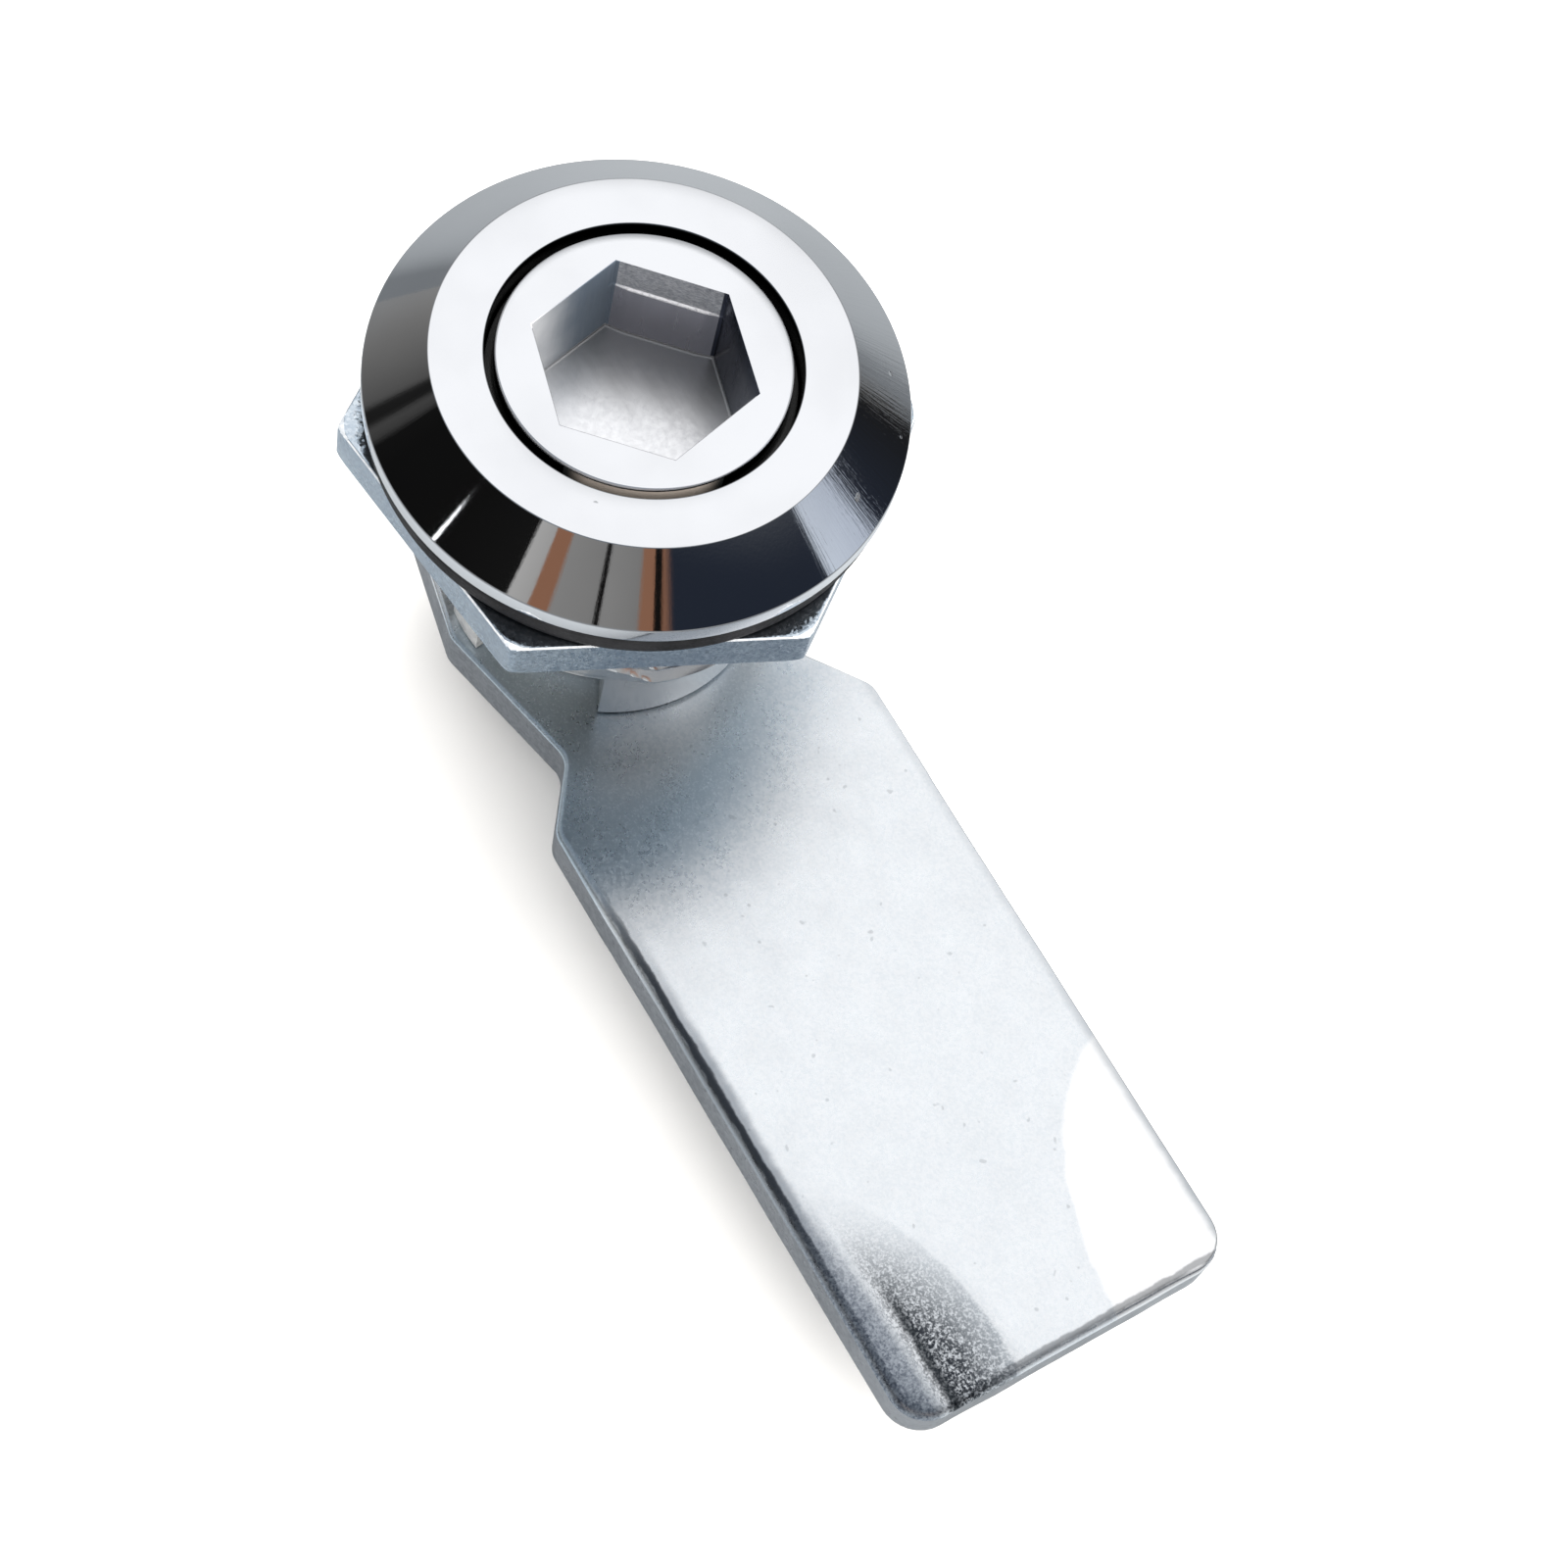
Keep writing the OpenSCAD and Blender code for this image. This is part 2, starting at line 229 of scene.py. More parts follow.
def grid_points(edge, tight, hole, grid):
    """Points inside a plate, off its edge and its hole, so that its face can bend."""
    keep_off = inset(hole, -grid * 0.5)
    left, right = min(p[0] for p in edge), max(p[0] for p in edge)
    low, high = min(p[1] for p in edge), max(p[1] for p in edge)
    points = []
    for i in range(int((right - left) / grid)):
        for j in range(int((high - low) / grid)):
            p = (left + (i + 0.5 + 0.25 * (j % 2)) * grid, low + (j + 0.5) * grid)
            if inside(p, tight) and not inside(p, keep_off):
                points.append(Vector(p))
    return points


def plate(outline, hole, z0, z1, roll_top, roll_bottom, grid=None, sink=None, steps=4, share=None):
    """A flat stamped plate from a counter-clockwise outline and hole. Each roll is (width, height).
    share(x, y) is the part of the top's roll that a point of the outline has, and sink(x, y, z)
    is how far a point is moved up."""
    middle = (z0 + z1) / 2
    rise = sink or (lambda x, y, z: 0.0)
    part = share or (lambda x, y: 1.0)
    arc = [math.pi / 2 * k / steps for k in range(steps + 1)]
    levels = [(roll_top[0] * (1 - math.sin(t)), z1 - roll_top[1] * (1 - math.cos(t))) for t in arc]
    levels += [(roll_bottom[0] * (1 - math.cos(t)), z0 + roll_bottom[1] * (1 - math.sin(t))) for t in arc]

    def row(d, z):
        out = []
        for (x, y), (u, v) in zip(outline, inset(outline, d)):
            k = part(x, y) if z > middle else 1.0
            u, v = x + (u - x) * k, y + (v - y) * k
            h = z1 - (z1 - z) * k if z > middle else z
            out.append((u, v, h + rise(u, v, z)))
        return out

    verts, faces = rings([row(d, z) for d, z in levels], False)
    faces = faces[:-2]
    for d, z in (levels[0], levels[-1]):
        edge = [p[:2] for p in row(d, z)]
        pts = [Vector(p) for p in edge] + [Vector(p) for p in hole]
        ends = len(edge)
        lines = [(i, (i + 1) % ends) for i in range(ends)]
        lines += [(ends + i, ends + (i + 1) % len(hole)) for i in range(len(hole))]
        if grid:
            pts += grid_points(edge, inset(outline, d + grid * 0.6), hole, grid)
        out = delaunay_2d_cdt(pts, lines, [], 0, 1e-6)
        k = len(verts)
        verts += [(p.x, p.y, z + rise(p.x, p.y, z)) for p in out[0]]
        for f in out[2]:
            c = sum((out[0][i] for i in f), Vector((0, 0))) / len(f)
            if inside(c, edge) and not inside(c, hole):
                faces.append(tuple(k + i for i in f))
    wall = [[(x, y, z + rise(x, y, z)) for x, y in hole] for z in (levels[0][1], levels[-1][1])]
    wall_verts, wall_faces = rings(wall, False)
    return joined((verts, faces), (wall_verts, wall_faces[:-2]))


def paint(obj, pick):
    """Gives each face the material that pick(r, z, normal) returns, with r and z in millimetres."""
    slots = {m.name: i for i, m in enumerate(obj.data.materials)}
    for p in obj.data.polygons:
        c = p.center / MM
        p.material_index = slots[pick(math.hypot(c.x, c.y), c.z, p.normal).name]


# Materials

class Graph:
    """Short names for the few node types that the materials use. Object coordinates are in
    metres, so the scale of a noise or of cells is how many features a metre has."""

    def __init__(self, tree):
        self.tree = tree

    def add(self, kind, **settings):
        node = self.tree.nodes.new(kind)
        for k, v in settings.items():
            setattr(node, k, v)
        return node

    def put(self, socket, value):
        if isinstance(value, bpy.types.NodeSocket):
            self.tree.links.new(value, socket)
        else:
            socket.default_value = value

    def math(self, op, a, b=0.0):
        node = self.add("ShaderNodeMath", operation=op)
        for s, v in zip(node.inputs, (a, b)):
            self.put(s, v)
        return node.outputs[0]

    def plus(self, a, b):
        return self.math("ADD", a, b)

    def minus(self, a, b):
        return self.math("SUBTRACT", a, b)

    def times(self, a, b):
        return self.math("MULTIPLY", a, b)

    def over(self, a, b):
        return self.math("DIVIDE", a, b)

    def length(self, a, b):
        return self.math("SQRT", self.plus(self.times(a, a), self.times(b, b)))

    def object_point(self):
        return self.add("ShaderNodeTexCoord").outputs["Object"]

    def split(self, vector):
        node = self.add("ShaderNodeSeparateXYZ")
        self.put(node.inputs[0], vector)
        return node.outputs

    def join(self, x, y, z):
        node = self.add("ShaderNodeCombineXYZ")
        for s, v in zip(node.inputs, (x, y, z)):
            self.put(s, v)
        return node.outputs[0]

    def noise(self, vector, scale, detail=2.0, rough=0.5, warp=0.0):
        node = self.add("ShaderNodeTexNoise")
        self.put(node.inputs["Vector"], vector)
        node.inputs["Scale"].default_value = scale
        node.inputs["Detail"].default_value = detail
        node.inputs["Roughness"].default_value = rough
        node.inputs["Distortion"].default_value = warp
        return node.outputs["Fac"]

    def cells(self, vector, scale):
        """Distance to the nearest cell's middle, and the cell's random colour."""
        node = self.add("ShaderNodeTexVoronoi")
        self.put(node.inputs["Vector"], vector)
        node.inputs["Scale"].default_value = scale
        return node.outputs["Distance"], node.outputs["Color"]

    def band(self, value, a, b, lo=0.0, hi=1.0, smooth=True):
        """lo up to a, hi from b, and a smooth step between."""
        node = self.add("ShaderNodeMapRange", interpolation_type="SMOOTHSTEP" if smooth else "LINEAR")
        for s, v in zip(node.inputs, (value, a, b, lo, hi)):
            self.put(s, v)
        return node.outputs[0]

    def strip(self, value, a, b, c, d):
        """0 up to a, 1 from b to c, and 0 again from d."""
        return self.times(self.band(value, a, b), self.band(value, c, d, 1.0, 0.0))

    def ramp(self, value, stops):
        node = self.add("ShaderNodeValToRGB")
        self.put(node.inputs[0], value)
        e = node.color_ramp.elements
        while len(e) < len(stops):
            e.new(0.5)
        for el, (pos, colour) in zip(e, stops):
            el.position = pos
            el.color = (*colour, 1)
        return node.outputs["Color"]

    def mix(self, fac, a, b, blend="MIX"):
        node = self.add("ShaderNodeMix", data_type="RGBA", blend_type=blend)
        self.put(node.inputs[0], fac)
        for s, v in ((node.inputs[6], a), (node.inputs[7], b)):
            self.put(s, (*v, 1) if isinstance(v, tuple) and len(v) == 3 else v)
        return node.outputs[2]

    def vector(self, op, a, b=None, scale=None):
        node = self.add("ShaderNodeVectorMath", operation=op)
        self.put(node.inputs[0], a)
        if b is not None:
            self.put(node.inputs[1], b)
        if scale is not None:
            self.put(node.inputs["Scale"], scale)
        return node.outputs[0]

    def facets(self, colour, tilt, normal):
        """Leans the normal a little, by the random colour of the crystal it lies in."""
        lean = self.vector("SCALE", self.vector("SUBTRACT", colour, (0.5, 0.5, 0.5)), scale=tilt)
        return self.vector("NORMALIZE", self.vector("ADD", normal, lean))

    def bump(self, height, microns, normal=None):
        """Relief of a height of 1, as deep as the given number of micrometres."""
        node = self.add("ShaderNodeBump")
        node.inputs["Strength"].default_value = 1.0
        node.inputs["Distance"].default_value = microns * UM
        self.put(node.inputs["Height"], height)
        if normal is not None:
            self.put(node.inputs["Normal"], normal)
        return node.outputs[0]


def new_material(name, base, metallic, roughness, specular=0.5):
    mat = bpy.data.materials.new(name)
    mat.use_nodes = True
    mat.diffuse_color = (*base, 1)
    bsdf = mat.node_tree.nodes["Principled BSDF"]
    bsdf.inputs["Base Color"].default_value = (*base, 1)
    bsdf.inputs["Metallic"].default_value = metallic
    bsdf.inputs["Roughness"].default_value = roughness
    bsdf.inputs["Specular IOR Level"].default_value = specular
    return mat, Graph(mat.node_tree), bsdf


def darker(colour, k):
    return tuple(c * k for c in colour)


def chrome(name, base, roughness, comb, pits, grain, metallic=1.0, facing=None):
    """Chromium plating: fine machining marks along the cone, a few pits and a faint haze.
    comb, pits and grain are the depths of the marks, the pits and the grain in micrometres.
    facing is a direction round the axis in degrees, away from which the metal is painted nearly black as
    shade."""
    mat, g, bsdf = new_material(name, base, metallic, roughness)
    point = g.object_point()
    x, y, z = g.split(point)
    angle = g.math("ARCTAN2", y, x)
    # The marks change quickly round the axis and slowly along the cone, and lie on one side of it.
    around = g.join(g.math("COSINE", angle), g.math("SINE", angle), g.times(z, 6.0))
    marked_side = g.band(g.math("COSINE", g.minus(angle, 1.1)), 0.55, 0.85, 0.06, 1.0)
    marks = g.times(g.noise(around, 80.0, 4.0, 0.6), marked_side)
    cloud = g.noise(point, 160.0, 3.0, 0.5)
    speck = g.noise(point, 5200.0, 2.0, 0.6)
    distance, _ = g.cells(point, 620.0)
    pit = g.minus(1.0, g.band(distance, 0.05, 0.11))
    rare = g.band(g.noise(point, 300.0, 1.0), 0.60, 0.66)
    dent = g.times(pit, rare)
    haze = g.band(cloud, 0.3, 0.75, roughness * 0.7, roughness * 1.5)
    g.put(bsdf.inputs["Roughness"], g.plus(haze, g.times(dent, 0.25)))
    stained = g.plus(g.band(cloud, 0.35, 0.8, 0.0, 0.35), g.times(dent, 0.5))
    tone = g.mix(stained, base, darker(base, 0.82))
    # Painted shade: away from the facing direction the metal turns nearly black.
    if facing is not None:
        lit_part = g.band(g.math("COSINE", g.minus(angle, math.radians(facing))), 0.86, 0.94)
        tone = g.mix(lit_part, (0.022, 0.024, 0.024), tone)
    g.put(bsdf.inputs["Base Color"], tone)
    n = g.bump(marks, comb)
    n = g.bump(speck, grain, n)
    g.put(bsdf.inputs["Normal"], g.bump(dent, -pits, n))
    return mat


def zinc(name, light, dark, roughness, grain, scale=1500.0, swirl=30.0, metallic=1.0,
         tilt=0.05, marks=None, mottle=1.0):
    """Bright zinc plating: fine crystals that each lean a little, clouds and small blemishes.
    grain and swirl are depths in micrometres, and mottle is how much of the clouds is left.
    marks(g, colour, rough, n, one) may add one piece's own painted reflections, highlights and shade."""
    mat, g, bsdf = new_material(name, light, metallic, roughness)
    point = g.object_point()
    fine = g.noise(point, scale, 3.0, 0.7)
    _, crystal = g.cells(point, scale * 2.0)
    one = g.split(crystal)[0]
    low, high = 0.5 - 0.5 * mottle, 0.5 + 0.5 * mottle
    stain = g.band(g.noise(point, 130.0, 4.0, 0.55, 0.5), 0.0, 1.0, low, high, smooth=False)
    blotch = g.band(g.noise(point, 420.0, 3.0, 0.6), 0.0, 1.0, low, high, smooth=False)
    mixed = g.plus(g.times(stain, 0.5), g.times(one, 0.25))
    tint = g.band(g.plus(mixed, g.times(fine, 0.35)), 0.32, 0.74)
    spots = g.times(g.band(g.noise(point, 1500.0, 1.0), 0.73, 0.78), 0.5)
    colour = g.mix(spots, g.mix(tint, dark, light), darker(dark, 0.6))
    cloudy = g.band(blotch, 0.3, 0.7, roughness * 0.75, roughness * 1.25)
    rough = g.plus(cloudy, g.times(one, roughness * 0.25))
    n = g.bump(g.noise(point, 90.0, 1.0, 0.4), swirl)
    if marks:
        colour, rough, n = marks(g, colour, rough, n, one)
    n = g.bump(fine, grain, n)
    g.put(bsdf.inputs["Base Color"], colour)
    g.put(bsdf.inputs["Roughness"], rough)
    g.put(bsdf.inputs["Normal"], g.facets(crystal, tilt, n))
    return mat


def cam_painted_light(g, colour, rough, n, one):
    """The cam's painted reflections, highlights and shade, round its dented corner and pressed line. x runs
    along the blade and y across it, both in millimetres.
    """
    x, y, _ = g.split(g.object_point())
    x, y = g.times(x, 1000.0), g.times(y, 1000.0)
    ragged = g.times(g.minus(g.noise(g.object_point(), 700.0, 3.0, 0.6), 0.5), 1.2)
    grains = g.noise(g.object_point(), 7500.0, 2.0, 0.7)
    salt = g.plus(g.times(grains, 0.8), g.times(one, 0.2))

    def waver(value, amount):
        """The value, made a little uneven, so that what it draws has no straight edge."""
        return g.plus(value, g.times(ragged, amount))

    def oval(cx, cy, ax, ay, turn, soft):
        """1 inside an oval, 0 outside, with an edge of the given softness."""
        c, s = math.cos(math.radians(turn)), math.sin(math.radians(turn))
        dx, dy = g.minus(x, cx), g.minus(y, cy)
        u = g.over(g.plus(g.times(dx, c), g.times(dy, s)), ax)
        v = g.over(g.minus(g.times(dy, c), g.times(dx, s)), ay)
        return g.band(waver(g.length(u, v), 0.05), 1 - soft, 1 + soft, 1.0, 0.0)

    def salted(a, b, dark, light):
        return g.mix(g.band(salt, a, b), dark, light)

    # A painted reflection on the dented corner, grey at first, and a painted dark reflection along the left
    # edge
    dent = g.times(oval(48.0, -8.6, 10.0, 4.9, 8.0, 0.03), g.band(x, 39.0, 50.0, 0.12, 0.75))
    colour = g.mix(dent, colour, salted(0.3, 0.7, (0.36, 0.40, 0.44), (0.66, 0.70, 0.73)))
    rim = g.times(g.band(waver(y, 0.5), -9.6, -9.0, 1.0, 0.0), g.band(x, 16.0, 30.0))
    colour = g.mix(g.times(rim, 0.65), colour, (0.16, 0.19, 0.23))

    # A painted bright reflection near the tip, where the plate is also smoother
    bright = g.times(oval(51.5, 11.4, 14.0, 8.6, -4.0, 0.015), 0.9)
    colour = g.mix(bright, colour, (0.985, 0.985, 0.98))
    rough = g.times(rough, g.minus(1.0, g.times(bright, 0.28)))

    # Painted dark lines of shade where the roll ends, at the left side and the tip, and a paler painted line
    # of shade at the right
    roll_shade = g.strip(waver(y, 0.35), -10.25, -10.12, -9.85, -9.70)
    roll_shade = g.times(roll_shade, g.band(x, 15.0, 24.0, 0.2, 0.85))
    nose = g.strip(waver(x, 0.35), 51.20, 51.35, 51.55, 51.70)
    nose = g.times(nose, g.band(y, -10.0, -6.0, 0.2, 0.55))
    colour = g.mix(g.math("MAXIMUM", roll_shade, nose), colour, (0.03, 0.035, 0.045))
    edge = g.times(g.band(waver(y, 0.25), 9.75, 10.35), g.band(x, 26.0, 50.0, 0.25, 0.8))
    colour = g.mix(edge, colour, (0.36, 0.39, 0.42))

    # A painted slate-blue reflection on the neck, round a spot that is left bright
    spot = g.times(oval(10.6, -2.2, 2.4, 4.2, 20.0, 0.6), 0.8)
    neck = g.times(oval(8.5, -8.0, 9.6, 12.2, 0.0, 0.2), g.minus(1.0, spot))
    colour = g.mix(g.times(neck, 0.82), colour,
                   salted(0.50, 0.72, (0.46, 0.56, 0.64), (0.66, 0.76, 0.84)))

    # The pressed line, with painted reflections: black grains on its inner side, slate outside it, and a
    # bright ridge as a painted highlight on a slight bump
    line = g.over(g.plus(g.minus(y, g.times(x, 0.02)), 9.15), 0.35)
    uneven = waver(line, 0.8)
    core = g.times(oval(50.0, -8.6, 7.5, 4.0, 8.0, 0.55), g.band(uneven, -0.8, 0.6, 0.12, 0.97))
    colour = g.mix(core, colour, salted(0.42, 0.70, (0.02, 0.024, 0.032), (0.74, 0.77, 0.80)))
    slate = g.times(g.band(uneven, -2.0, -0.4, 1.0, 0.0), g.band(x, 36.0, 46.0, 0.0, 0.85))
    colour = g.mix(slate, colour, salted(0.30, 0.70, (0.13, 0.15, 0.19), (0.44, 0.48, 0.53)))
    ridge = g.math("POWER", 2.718, g.times(g.times(line, line), -1.0))
    ridge = g.times(ridge, g.band(x, 40.0, 45.0))
    ridge = g.times(ridge, g.band(salt, 0.30, 0.60, 0.35, 1.0))
    colour = g.mix(g.times(ridge, 0.80), colour, (0.88, 0.90, 0.92))
    # A painted dark reflection: a black streak beside the line
    streak = g.times(g.strip(waver(line, 1.2), 0.2, 1.6, 1.8, 3.4), g.band(x, 43.0, 47.0, 0.0, 0.8))
    colour = g.mix(streak, colour, (0.02, 0.025, 0.03))
    return colour, rough, g.bump(ridge, 20.0, n)


def rubber(name, base):
    mat, g, bsdf = new_material(name, base, 0.0, 0.6, 0.12)
    point = g.object_point()
    cloud = g.noise(point, 240.0, 4.0, 0.6)
    grain = g.noise(point, 4200.0, 3.0, 0.7)
    g.put(bsdf.inputs["Base Color"], g.mix(g.band(cloud, 0.35, 0.75), base, darker(base, 2.2)))
    g.put(bsdf.inputs["Roughness"], g.band(grain, 0.2, 0.8, 0.45, 0.72))
    g.put(bsdf.inputs["Normal"], g.bump(grain, 20.0, g.bump(cloud, 50.0)))
    return mat


def socket_metal(name, base):
    """The key socket: broached walls, the two beside the far wall painted as light and shade, a painted
    highlight on the far wall's ledge, and a brushed, cloudy floor painted darker towards the far wall as
    shade.
    """
    mat, g, bsdf = new_material(name, base, 1.0, 0.3)
    point = g.object_point()
    x, y, z = g.split(point)
    height = g.times(z, 1000.0)
    strokes = g.noise(g.join(x, y, g.times(z, 0.08)), 2600.0, 3.0, 0.6)
    across = g.noise(g.join(g.times(x, 0.25), y, z), 900.0, 4.0, 0.6)
    cloud = g.noise(point, 300.0, 3.0, 0.5)
    torn = g.noise(g.join(x, y, g.times(z, 2.5)), 4200.0, 4.0, 0.7)

    def toward(azimuth):
        """Millimetres from the axis, in a direction."""
        a = math.radians(azimuth)
        return g.plus(g.times(x, math.cos(a) * 1000), g.times(y, math.sin(a) * 1000))

    far = toward(KEY_DIR + 90)
    is_floor = g.band(height, Z_SOCKET + 0.1, Z_SOCKET + 0.2, 1.0, 0.0)
    wall = g.minus(1.0, is_floor)
    # Painted shade: the floor is darker towards the far wall.
    shade = g.band(g.plus(far, g.times(across, 2.0)), -0.8, 5.4)
    tone = g.mix(g.times(shade, is_floor), base, darker(base, 0.36))

    # The far wall: a rough band above the small step, and a painted highlight along the ledge on it
    back = g.times(g.band(far, 5.0, 5.05), wall)
    above = g.band(g.plus(height, g.times(torn, 0.25)), Z_STEP + 0.02, Z_STEP + 0.15)
    speckled = g.mix(g.band(torn, 0.30, 0.72), (0.40, 0.41, 0.44), (0.76, 0.76, 0.77))
    tone = g.mix(back, tone, g.mix(above, (0.52, 0.51, 0.56), speckled))
    ledge = g.strip(height, Z_STEP - 0.17, Z_STEP - 0.11, Z_STEP, Z_STEP + 0.06)
    ledge_glint = g.times(g.times(ledge, back), g.band(torn, 0.25, 0.5, 0.3, 1.0))
    tone = g.mix(ledge_glint, tone, (0.80, 0.80, 0.82))

    # The walls on either side of it, one painted dark as shade and one painted light, which is painted
    # darker towards the far wall
    right = g.times(g.band(toward(KEY_DIR + 30), 5.1, 5.15), wall)
    tone = g.mix(right, tone, g.mix(cloud, (0.02, 0.025, 0.045), (0.10, 0.11, 0.15)))
    left = g.times(g.band(toward(KEY_DIR + 150), 5.1, 5.15), wall)
    along = g.band(g.plus(far, g.times(cloud, 2.0)), -0.6, 4.6)
    tone = g.mix(left, tone, g.mix(along, (0.93, 0.93, 0.93), (0.13, 0.16, 0.20)))
    g.put(bsdf.inputs["Base Color"], tone)

    matt = g.plus(g.times(left, 0.55), g.times(ledge_glint, 0.45))
    matt = g.plus(matt, g.times(is_floor, 0.10))
    g.put(bsdf.inputs["Metallic"], g.minus(1.0, matt))
    dull = g.plus(left, g.times(is_floor, 0.5))
    dull = g.plus(dull, g.times(above, back))
    g.put(bsdf.inputs["Roughness"], g.plus(g.band(strokes, 0.3, 0.7, 0.16, 0.28), g.times(dull, 0.25)))
    g.put(bsdf.inputs["Normal"], g.bump(across, 3.0, g.bump(strokes, 3.0)))
    return mat


CHROME = chrome("housing_polished", (0.42, 0.427, 0.44), 0.03, comb=10.0, pits=30.0, grain=0.4)
FACE = chrome("housing_face", (0.84, 0.85, 0.87), 0.07, comb=1.0, pits=20.0, grain=0.6)
SATIN = chrome("housing_satin", (0.64, 0.645, 0.65), 0.20, comb=3.0, pits=50.0, grain=2.0, metallic=0.95)
SPINDLE = chrome("spindle_face", (0.84, 0.85, 0.87), 0.08, comb=1.0, pits=20.0, grain=1.0)
SHOULDER = chrome("spindle_shoulder", (0.80, 0.80, 0.82), 0.30, comb=1.0, pits=20.0, grain=2.0)
# Painted shade: the groove's wall and the bore are nearly black.
GROOVE = chrome("groove_wall", (0.022, 0.026, 0.026), 0.14, comb=3.0, pits=20.0, grain=2.0)
# Painted reflection: the spindle's side in the ring is brown toward the view, and painted black as shade
# away from it.
SIDE = chrome("spindle_side", (0.52, 0.45, 0.39), 0.30, comb=3.0, pits=20.0, grain=2.0,
              metallic=0.2, facing=-29.9)
# Painted shade: the groove's floor is black.
GROOVE_SHADE = chrome("groove_floor", (0.03, 0.03, 0.03), 0.5, comb=3.0, pits=20.0, grain=4.0, metallic=0.3)
JOURNAL = chrome("spindle_journal", (0.55, 0.54, 0.52), 0.3, comb=3.0, pits=20.0, grain=2.0, metallic=0.5)
SOCKET = socket_metal("spindle_socket", (0.95, 0.955, 0.97))
NUT = zinc("nut_plating", (0.74, 0.80, 0.85), (0.50, 0.58, 0.66), 0.10, grain=3.0, scale=3200.0, tilt=0.10)
# Painted highlight: the nut's chamfered rim is nearly white and partly diffuse.
RIM = zinc("nut_rim", (0.95, 0.95, 0.95), (0.62, 0.66, 0.70), 0.35, grain=2.0, scale=2600.0, metallic=0.35)
# Painted shade: the nut's sides take a darker copy of its plating.
NUT_SIDE = zinc("nut_side", (0.54, 0.62, 0.69), (0.34, 0.41, 0.49), 0.22, grain=6.0, scale=3800.0, tilt=0.20)
CAM = zinc("cam_plating", (0.95, 0.97, 0.985), (0.80, 0.84, 0.87), 0.27, grain=1.5, scale=3400.0,
           swirl=10.0, tilt=0.012, marks=cam_painted_light, mottle=0.25)
# The cam's sheared sides are rougher, and darker than its top as painted shade.
SHEARED = zinc("cam_sheared_edge", (0.44, 0.45, 0.47), (0.28, 0.29, 0.31), 0.32, grain=10.0, scale=2600.0)
STOP = zinc("stop_plating", (0.66, 0.66, 0.65), (0.48, 0.48, 0.48), 0.34, grain=10.0, metallic=0.5)
WASHER = zinc("washer_plating", (0.76, 0.79, 0.81), (0.58, 0.62, 0.66), 0.26, grain=10.0)
SPRING = zinc("lock_washer_oxide", (0.20, 0.20, 0.21), (0.10, 0.10, 0.11), 0.38, grain=10.0)
BOLT = zinc("bolt_plating", (0.74, 0.77, 0.80), (0.52, 0.57, 0.62), 0.25, grain=10.0)
RUBBER = rubber("gasket_black", (0.012, 0.012, 0.013))
SEAL = rubber("seal_black", (0.016, 0.016, 0.016))


# Housing

def thread_radius(r, z, a):
    """The housing's threaded body: a 60 degree thread, cut back by two flats."""
    if z > Z_LIP_BOTTOM - 0.01 or r < SKIRT_R + 0.3:
        return r
    turn = (z / PITCH - a / TAU) % 1.0
    depth = unit((abs(2 * turn - 1) - 0.1) / 0.72)
    fade = unit((Z_THREAD_TOP - z) / THREAD_RUNOUT)
    if Z_BODY_END + 0.01 < z < Z_THREAD_TOP:
        r = min(r, BODY_R - THREAD_DEPTH * depth * fade)
    side = abs(math.cos(a - math.radians(FLATS_DIR)))
    return min(r, FLAT_R / side) if side > 1e-3 else r


def housing_material(r, z, normal):
    if z > Z_FACE - 0.1 and normal.z > 0.9:
        return FACE
    if r < BORE_R + 0.05 and z > 0:
        return GROOVE
    if z > Z_LIP_TOP - 0.05:
        return CHROME
    if z > Z_LIP_BOTTOM and r > HEAD_R - 0.5:
        return FACE
    return SATIN


def housing():
    # The last point of the head and the last corner of the bore only show the fillets where to go.
    head = fillet([
        (BORE_R, Z_FACE - 0.5, 0), (BORE_R, Z_FACE, 0.10), (FACE_R, Z_FACE, 0.12),
        (HEAD_R, Z_LIP_TOP, 0.16), (HEAD_R, Z_LIP_BOTTOM, 0.16), (BODY_R, Z_LIP_BOTTOM, 0),
    ], steps=5)[:-1]
    rows, chamfer_rows, corner_steps = 84, 5, 3
    top, end = Z_THREAD_TOP + 0.3, Z_BODY_END + BODY_CHAMFER
    body = [(NECK_R, Z_LIP_BOTTOM - 0.02), (NECK_R, top + 0.1)]
    body += [(BODY_R, top + (end - top) * k / rows) for k in range(rows + 1)]
    cuts = [BODY_CHAMFER * k / chamfer_rows for k in range(1, chamfer_rows + 1)]
    body += [(BODY_R - cut, end - cut) for cut in cuts]
    bore = [(SKIRT_R - 0.2, Z_BODY_END)] + fillet([
        (JOURNAL_BORE_R, Z_BODY_END, 0.1), (JOURNAL_BORE_R, Z_BORE_END, 0),
        (BORE_R, Z_BORE_END, 0.1), (BORE_R, Z_FACE, 0.04),
    ], steps=corner_steps)[:-(corner_steps + 1)]
    main = turned(head + body + bore, 432, thread_radius)
    skirt = sweep(fillet([
        (SKIRT_BORE_R, Z_BODY_END + 0.05, 0), (SKIRT_R, Z_BODY_END + 0.05, 0),
        (SKIRT_R, Z_SKIRT_END, 0.22), (SKIRT_BORE_R, Z_SKIRT_END, 0.22),
    ]), WINDOW_TO, WINDOW_FROM + 360, 170)
    obj = make("housing_body", *joined(main, skirt), [CHROME, FACE, SATIN, GROOVE])
    paint(obj, housing_material)
    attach(obj, "lock_body")
    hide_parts("housing")


